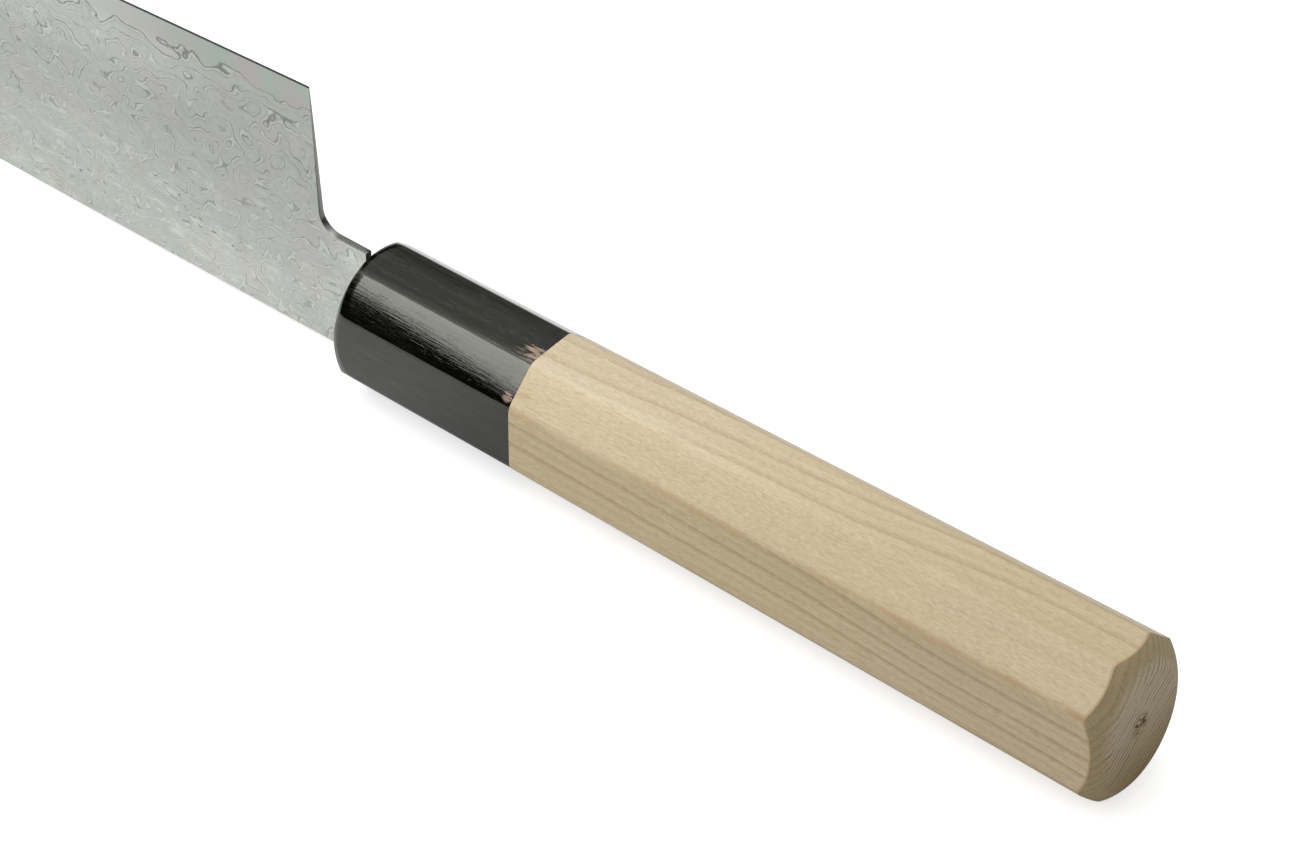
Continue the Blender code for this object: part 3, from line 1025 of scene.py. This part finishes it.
def steel_ground(steel, low, far):
    """Cladding between its lines: clouded, with pale smears along the blade towards the spine."""
    base, spot = bpy.context.scene.gyuto_blade.steel_colour, steel.spot
    hue = spot.noise(130.0, 1.0).step(0.42, 0.60)
    wide, open_part = steel.streaks(0.0046, 0.0015, 3.5), low.or_more(far * 0.6)
    smear, shade = wide.step(0.50, 0.72) * open_part, wide.step(0.44, 0.30) * open_part
    return steel.paint(
        lit(base, 0.95),
        (spot.noise(85.0, 2.0).step(0.32, 0.68), lit(base, 1.04)),
        (spot.noise(1100.0, 2.5).step(0.36, 0.64, 0.0, 0.90), lit(base, 0.86)),
        (0.5, steel.mix(hue, (0.448, 0.482, 0.450), (0.470, 0.464, 0.440))),
        (smear * 0.70, lit(base, 1.26)),
        (shade * 0.35, lit(base, 0.80)),
    )


def etched_pits(steel, depth, along):
    """Short dark dashes that the etching left in a row near the spine."""
    row = steel.spot.scaled((45.0, 45.0, 150.0)).noise(1.0, 1.0)
    seen = steel.streaks(0.0015, 0.00055, 1.0) + row.step(0.46, 0.62) * 0.10
    kept = depth.step(0.030, 0.034) * depth.step(0.039, 0.043, 1.0, 0.0)
    kept = kept * along.step(0.008, 0.016) * along.step(0.048, 0.060, 1.0, 0.0)
    return seen.step(0.735, 0.775) * (kept * 0.8)


def ground_rim():
    """Spine, choil and neck: the cut edge of the layers, ground lengthwise."""
    rim = bpy.context.scene.gyuto_blade.rim_colour
    steel = Finish("ground_rim")
    streak = steel.streaks(0.0015, 0.00012)
    weld = abs(abs(steel.spot.split()[1]) - 0.0002).step(0.0, 0.00006, 0.35, 0.0)
    surface = steel.mix(streak.step(0.32, 0.68), lit(rim, 0.82), lit(rim, 1.20))
    surface = steel.mix(weld, surface, lit(rim, 0.55))
    rough = streak.step(0.3, 0.7, 0.28, 0.38)
    steel.shade({"Base Color": surface, "Metallic": 1.0, "Roughness": rough})
    steel.bump(streak, 0.000010)
    return steel.material


def buffalo_horn():
    """Polished black horn: long fibres, faint olive clouds and a few pale streaks at the joint,
    with a painted highlight along its upper ridges.
    """
    horn = Finish("buffalo_horn")
    place = horn.on_knife()
    fine, broad = horn.streaks(0.0060, 0.00024), horn.streaks(0.014, 0.0013)
    # Painted highlight: a pale line and glow along the upper ridges, for the light they catch.
    ridge, top = painted_ridge_highlight(place)
    open_top = top.step(0.0, 1.0, 0.30, 1.0)
    fibrous = horn.streaks(0.0016, 0.00015).step(0.47, 0.68) * broad.step(0.44, 0.58, 0.15, 1.0)
    base = horn.paint(
        bpy.context.scene.gyuto_handle.horn_colour,
        (broad.step(0.48, 0.66) * open_top, (0.0044, 0.0047, 0.0022)),
        (fibrous * open_top, (0.026, 0.027, 0.014)),
        (horn_marks(horn), (0.300, 0.215, 0.150)),
        (ridge, (0.058, 0.060, 0.052)),
    )
    inside, back = inside_turning(place, 0.0, -1, NOSE, FRONT_SECTION)
    rolled = horn.math("SUBTRACT", 1.0, inside / NOSE_ROLL, clamp=True)
    rolled = rolled * rolled * back.step(0.0042, 0.0036)
    horn.shade(
        {
            "Base Color": base,
            "Roughness": fine.step(0.3, 0.7, 0.03, 0.08),
            "IOR": 1.54,
            "Specular Tint": (1.0, 1.02, 0.93),
            "Coat Weight": fine.step(0.42, 0.66, 0.0, 0.16),
            "Coat Roughness": 0.05,
        }
    )
    horn.bump(fine * 0.000015 + broad * 0.000009 - rolled * (0.3 * NOSE_ROLL), 1.0)
    return horn.material


def painted_ridge_highlight(place):
    """Painted highlight along the two upper ridges of the horn, a pale line and a soft glow, and
    its top facet.
    """
    _, y, z = place
    off = abs(abs(y) - (FRONT_SECTION[2] + JOINT_SECTION[2]) / 4)
    line, glow = off.step(0.0, 0.00030, 0.60, 0.0), off.step(0.0, 0.0016, 0.40, 0.0)
    top = z.step(0.0080, 0.0095)
    return (line + glow) * top, top


def horn_marks(horn):
    """Short pale streaks in the horn, close to the joint."""
    streak = horn.streaks(0.0022, 0.00050)
    total = None
    for centre, reach in HORN_MARKS:
        away = horn.spot.measure("DISTANCE", joint_place(centre))
        close = away.step(reach * 0.3, reach, 1.0, 0.0)
        patch = (streak + close * 0.25).step(0.66, 0.84) * close
        total = patch if total is None else total.or_more(patch)
    return total


def magnolia():
    """Bare sanded magnolia, cut along the grain, with painted shade darkening it towards the butt
    and a painted pale sheen on its top facet near the joint.
    """
    handle = bpy.context.scene.gyuto_handle
    dark = handle.grain_colour
    wood = Finish("magnolia")
    spot, facing = wood.spot, wood.out("ShaderNodeTexCoord", "Normal")
    along, upward = spot.split()[0], facing.split()[2]
    rings = wood.group("growth_rings", Vector=spot, Facing=facing)
    fibre, pore = wood.streaks(0.012, 0.00030), wood.streaks(0.0011, 0.00022, 2.0)
    ring_share = (rings["Ring"] * 0.24).or_more(rings["Bold"] * 0.74)
    cloud = spot.scaled((16.0, 170.0, 170.0)).noise(1.0, 2.0)
    flecks = spot.scaled((160.0, 520.0, 520.0)).noise(1.0, 1.0)
    warm = flecks.step(0.735, 0.80, 0.0, 0.5).or_more(worn_edges(wood))
    body = wood.paint(
        handle.wood_colour,
        (cloud.step(0.3, 0.7, 0.0, 0.24), dark),
        (ring_share * upward.step(0.5, 0.9, 1.12, 0.84), dark),
        (fibre.step(0.35, 0.70, 0.0, 0.18), dark),
        (pore.step(0.50, 0.72, 0.0, 0.48), dark),
        (pore.step(0.48, 0.30, 0.0, 0.46), lit(handle.wood_colour, 1.18)),
        (warm, (0.43, 0.275, 0.130)),
    )
    joint_x = joint_place().x
    # Painted shade: the wood darkens towards the butt, as the light falls off along the handle.
    painted_falloff_shade = along.step(butt_mount()["pos_m"][0], joint_x, 0.87, 0.99)
    body = wood.mix(1.0, body, painted_falloff_shade, "MULTIPLY")
    # Painted reflection: the top facet near the joint is paler and cooler, for the sky it reflects.
    painted_top_sheen = upward.step(0.80, 0.98) * along.step(joint_x - 0.065, joint_x)
    body = wood.mix(painted_top_sheen, body, (1.05, 1.09, 1.23), "MULTIPLY")
    wood.shade(
        {
            "Base Color": body,
            "Roughness": fibre.step(0.3, 0.7, 0.50, 0.62),
            "Sheen Weight": 0.16,
            "Sheen Roughness": 0.35,
            "Sheen Tint": (0.90, 0.98, 1.0),
        }
    )
    wood.bump(fibre - pore * 0.6, 0.00003)
    return wood.material


def magnolia_end_grain():
    """Magnolia cut across: fine darker lines on the flat, broad rings on its turned rounding, and
    painted light on the flat, lighter towards its top.
    """
    end = bpy.context.scene.gyuto_handle.end_colour
    wood = Finish("magnolia_end_grain")
    spot, facing = wood.spot, wood.out("ShaderNodeTexCoord", "Normal")
    sawn = abs(facing.split()[0]).step(0.82, 0.96)
    broad = wood.group("growth_rings", Vector=spot, Facing=facing)["Ring"]
    lines = wood.group("growth_rings", Vector=spot, Facing=facing, Spacing=0.00104)
    pore = spot.scaled((1500.0, 3300.0, 3300.0)).noise(1.0, 2.0)
    patch = spot.scaled((150.0, 330.0, 330.0)).noise(1.0, 2.0)
    thin = lines["Ring"] ** 2.2
    stroke = (thin * 0.72 + lines["Bold"] * 0.28) * patch.step(0.30, 0.62, 0.55, 1.0)
    body = wood.paint(
        wood.mix(broad * 0.30, lit(end, 1.10), lit(end, 0.55)),
        (sawn, wood.mix(stroke, lit(end, 1.10), lit(end, 0.34))),
        (pore.step(0.50, 0.75, 0.0, 0.40), lit(end, 0.40)),
        (pore.step(0.48, 0.28, 0.0, 0.25), lit(end, 1.35)),
    )
    # Painted light on the flat end: lighter and cooler towards its top, darker and warmer towards
    # its bottom.
    high = spot.split()[2].step(0.001, 0.020)
    painted_top_light = wood.mix(high, (0.78, 0.68, 0.53), (1.28, 1.36, 1.62))
    body = wood.mix(sawn, body, painted_top_light, "MULTIPLY")
    pith, haze = butt_pith(wood)
    body = wood.paint(body, (haze, (0.205, 0.132, 0.056)), (pith, (0.042, 0.025, 0.009)))
    wood.shade({"Base Color": body, "Roughness": 0.62, "Specular IOR Level": 0.15})
    wood.bump(thin * sawn, -0.000004)
    return wood.material


def inside_turning(place, face_x, inward, end, section):
    """How far a place lies inside a turned end, and how far behind that end's flat face."""
    x, y, z = place
    start, stop, arc, radius = turning(end, section)
    back = (x - face_x) * inward
    sine = math.sin(stop) - back / arc
    cosine = (1.0 - sine * sine).math("SQRT")
    turned = cosine * arc + (radius - arc * math.cos(start))
    return turned - y.nodes.join(0.0, y, z / end["oval"]).measure("LENGTH"), back


def worn_edges(wood):
    """Brown line where the facets meet the turned butt, and broken streaks on the side ridges."""
    handle = bpy.context.scene.gyuto_handle
    joint_x, butt_x = -handle.horn_length, -handle.length
    x, y, z = place = wood.on_knife()
    inside, back = inside_turning(place, butt_x, 1, BUTT, butt_ridges())
    at_butt = back.step(BUTT["depth"] + 0.0012, BUTT["depth"] + 0.0016, 1.0, 0.0)
    rim = inside.step(0.00012, 0.00038, 0.90, 0.0) * at_butt
    share = (x - joint_x) / (butt_x - joint_x)
    ridge_z = share * ((BUTT_SECTION[3] - JOINT_SECTION[3]) / 2) + JOINT_SECTION[3] / 2
    broken = wood.spot.scaled((70.0, 500.0, 500.0)).noise(1.0, 2.0)
    streak = abs(abs(z) - ridge_z).step(0.0001, 0.0008, 1.0, 0.0)
    streak = streak * broken.step(0.38, 0.60, 0.0, 0.75) * share.step(0.45, 0.95, 0.40, 1.2)
    return rim.or_more(streak * abs(y).step(0.0094, 0.0099))


def butt_pith(wood):
    """A few dark pin holes off the middle of the end grain, and the brown haze round them."""
    centre = Vector(butt_mount()["pos_m"]) + Vector(PITH_OFFSET)
    away = wood.spot.measure("DISTANCE", centre)
    cells = wood.add("ShaderNodeTexVoronoi", wood.spot)
    cells.inputs["Scale"].default_value = 1700.0
    hole = Value(wood, cells.outputs["Distance"]).step(0.40, 0.60, 1.0, 0.0)
    kept = Value(wood, cells.outputs["Color"]).split()[0].step(0.44, 0.49)
    cloud = wood.spot.noise(1100.0, 2.0).step(0.38, 0.58)
    pith = hole * away.step(0.0010, 0.0023, 1.0, 0.0) * kept
    return pith, cloud * away.step(0.0010, 0.0029, 0.85, 0.0)


def plain_dowel_wood():
    """Hidden dowel, plain turned wood."""
    wood = Finish("dowel_wood")
    fibre = wood.streaks(0.012, 0.0004)
    body = wood.mix(fibre, (0.56, 0.44, 0.27), (0.40, 0.29, 0.16))
    wood.shade({"Base Color": body, "Roughness": 0.6})
    wood.bump(fibre, 0.00004)
    return wood.material


# Studio.


def make_floor():
    """Pale floor that shows white to the camera and in reflections, and keeps the shadow; its
    reflections carry painted shade, dimmer towards the butt's side (-X).
    """
    deselect_all()
    bpy.ops.mesh.primitive_plane_add(size=FLOOR_SIZE, location=(0.0, 0.0, 0.0))
    floor = added("studio_floor")
    paper = Finish("studio_floor")
    camera, glossy, through = paper.rays("Camera", "Glossy", "Transmission")
    # Painted shade: what the floor shows in reflections grows dim towards -X, under the handle.
    painted_shade_in_reflection = glossy.or_more(through) * paper.spot.split()[0].step(-0.084, -0.056, 0.04, 0.36)
    paper.shade(
        {
            "Base Color": (0.62, 0.62, 0.62),
            "Roughness": 1.0,
            "Specular IOR Level": 0.0,
            "Emission Color": WHITE,
            "Emission Strength": painted_shade_in_reflection.or_more(camera * 0.62),
        }
    )
    floor.data.materials.append(paper.material)


def light_room():
    """Even room light. Reflections see a dark wall over the floor and a paler ceiling."""
    world = bpy.data.worlds.new("studio_room")
    bpy.context.scene.world = world
    world.use_nodes = True
    room = Nodes(world.node_tree)
    wall = room.out("ShaderNodeTexCoord", "Generated").split()[2].step(0.53, 0.60, 0.01, 0.66)
    camera, glossy = room.rays("Camera", "Glossy")
    level = room.mix(glossy, (bpy.context.scene.gyuto_studio.fill,) * 3, wall)
    level = room.mix(camera, level, WHITE)
    room.feed(world.node_tree.nodes["Background"].inputs["Color"], level)


def hang_box(name, turn, lift, distance, size, radiance, roll=0.0):
    """Rectangular lamp that faces the knife, with its brightness given as that of a surface."""
    turn, lift = math.radians(turn), math.radians(lift)
    level = math.cos(lift)
    away = Vector((level * math.cos(turn), level * math.sin(turn), math.sin(lift)))
    lamp = bpy.data.lights.new(name, "AREA")
    lamp.shape = "RECTANGLE"
    lamp.size, lamp.size_y = size
    lamp.energy = radiance * math.pi * size[0] * size[1]
    box = bpy.data.objects.new(name, lamp)
    bpy.context.scene.collection.objects.link(box)
    box.location = Vector(LAMP_AIM) + away * distance
    upright = away.to_track_quat("Z", "Y").to_matrix().to_4x4()
    box.rotation_euler = (upright @ Matrix.Rotation(roll, 4, "Z")).to_euler()


def set_camera():
    """Camera where the photograph was taken from."""
    data = bpy.data.cameras.new("camera")
    data.lens = bpy.context.scene.gyuto_studio.lens
    data.sensor_width = SENSOR_WIDTH
    data.clip_start, data.clip_end = CAMERA_CLIP
    camera = bpy.data.objects.new("camera", data)
    bpy.context.scene.collection.objects.link(camera)
    camera.location = CAMERA_PLACE
    camera.rotation_euler = [math.radians(turn) for turn in CAMERA_TURN]
    bpy.context.scene.camera = camera


# Operators, one for each piece, one for the shared shader groups and one for the stage.


class GYUTO_OT_effects(bpy.types.Operator):
    """Make the shader groups that several finishes share"""

    bl_idname = "gyuto.effects"
    bl_label = "Shader Groups"

    def execute(self, context):
        layer_lines_group()
        streaks_group()
        growth_rings_group()
        return {"FINISHED"}


class GYUTO_OT_blade(bpy.types.Operator):
    """Make the ground laminated blade with its tang"""

    bl_idname = "gyuto.blade"
    bl_label = "Blade"

    def execute(self, context):
        blade = blade_face()
        close_blade(blade)
        tang = tapered_bar("tang", SHOULDER_GAP - TANG_SEAT, TANG_FRONT, -TANG_LENGTH, TANG_END)
        make_active(blade)
        tang.select_set(True)
        bpy.ops.object.join()
        measure_blade(blade)
        blade.data.materials.append(layered_steel())
        blade.data.materials.append(ground_rim())
        for face in blade.data.polygons:
            if abs(face.normal.y) < RIM_NORMAL or face.center.x < SHOULDER_GAP:
                face.material_index = 1
        finish_piece(blade, SMOOTH_STEEL)
        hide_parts("core_steel", "cladding_right", "cladding_left")
        return {"FINISHED"}


class GYUTO_OT_ferrule(bpy.types.Operator):
    """Make the polished horn ferrule"""

    bl_idname = "gyuto.ferrule"
    bl_label = "Horn Ferrule"

    def execute(self, context):
        handle = context.scene.gyuto_handle
        joint_x = -handle.horn_length
        taper = (0.0, FRONT_SECTION, joint_x, JOINT_SECTION)
        horn = octagonal_bar("ferrule", taper, handle.horn_crown, handle.horn_rounding)
        ridges = section_at(-NOSE["depth"], taper)
        cut(horn, "INTERSECT", turned_body("horn_nose", 0.0, -1, NOSE, ridges))
        soften_nose(horn)
        hollow(horn, joint_x)
        horn.data.materials.clear()
        horn.data.materials.append(buffalo_horn())
        finish_piece(horn, SMOOTH_HANDLE)
        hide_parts("horn_ferrule")
        return {"FINISHED"}


class GYUTO_OT_grip(bpy.types.Operator):
    """Make the magnolia grip with its turned butt"""

    bl_idname = "gyuto.grip"
    bl_label = "Wooden Grip"

    def execute(self, context):
        handle = context.scene.gyuto_handle
        joint_x, butt_x = -handle.horn_length, -handle.length
        taper = (joint_x - GLUE_LINE, JOINT_SECTION, butt_x, BUTT_SECTION)
        wood = octagonal_bar("grip", taper, handle.wood_crown, handle.wood_rounding)
        cut(wood, "INTERSECT", turned_body("turned_butt", butt_x, 1, BUTT, butt_ridges()))
        hollow(wood, joint_x)
        wood.data.materials.clear()
        wood.data.materials.append(magnolia())
        wood.data.materials.append(magnolia_end_grain())
        for face in wood.data.polygons:
            if abs(face.normal.x) > math.sin(END_GRAIN_LEAN):
                face.material_index = 1
        finish_piece(wood, SMOOTH_HANDLE)
        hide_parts("wood_handle")
        return {"FINISHED"}


class GYUTO_OT_dowel(bpy.types.Operator):
    """Finish the dowel inside the handle"""

    bl_idname = "gyuto.dowel"
    bl_label = "Joining Dowel"

    def execute(self, context):
        dowel = frame["nodes"]["joining_dowel"]
        dowel.data.materials.clear()
        dowel.data.materials.append(plain_dowel_wood())
        return {"FINISHED"}


class GYUTO_OT_studio(bpy.types.Operator):
    """Set up the floor, the soft light and the camera"""

    bl_idname = "gyuto.studio"
    bl_label = "Studio"

    def execute(self, context):
        studio = context.scene.gyuto_studio
        make_floor()
        light_room()
        hang_box("key_box", **KEY_BOX, radiance=studio.key_radiance, roll=studio.key_roll)
        hang_box("top_box", **TOP_BOX, radiance=studio.top_radiance)
        set_camera()
        context.scene.view_settings.view_transform = "Standard"
        return {"FINISHED"}


class GYUTO_PT_knife(bpy.types.Panel):
    """Sidebar panel with the knife's sizes, colours and pieces"""

    bl_idname = "GYUTO_PT_knife"
    bl_label = "Gyuto Knife"
    bl_space_type = "VIEW_3D"
    bl_region_type = "UI"
    bl_category = "Gyuto"

    def draw(self, context):
        layout = self.layout
        for title in ("Blade", "Handle", "Studio"):
            settings = getattr(context.scene, f"gyuto_{title.lower()}")
            column = layout.box().column()
            column.label(text=title)
            for name in settings.bl_rna.properties.keys():
                if name not in {"rna_type", "name"}:
                    column.prop(settings, name)
        column = layout.column()
        for operator in OPERATORS:
            column.operator(operator.bl_idname)


SETTINGS = {
    "gyuto_blade": BladeSettings,
    "gyuto_handle": HandleSettings,
    "gyuto_studio": StudioSettings,
}
OPERATORS = (
    GYUTO_OT_effects,
    GYUTO_OT_blade,
    GYUTO_OT_ferrule,
    GYUTO_OT_grip,
    GYUTO_OT_dowel,
    GYUTO_OT_studio,
)
CLASSES = (*SETTINGS.values(), *OPERATORS, GYUTO_PT_knife)


def register():
    for kind in CLASSES:
        bpy.utils.register_class(kind)
    for name, settings in SETTINGS.items():
        setattr(bpy.types.Scene, name, bpy.props.PointerProperty(type=settings))


def unregister():
    for name in SETTINGS:
        delattr(bpy.types.Scene, name)
    for kind in reversed(CLASSES):
        bpy.utils.unregister_class(kind)


def main():
    """Builds every piece and the stage."""
    register()
    bpy.ops.gyuto.effects()
    bpy.ops.gyuto.blade()
    bpy.ops.gyuto.ferrule()
    bpy.ops.gyuto.grip()
    bpy.ops.gyuto.dowel()
    bpy.ops.gyuto.studio()


if __name__ == "__main__":
    main()
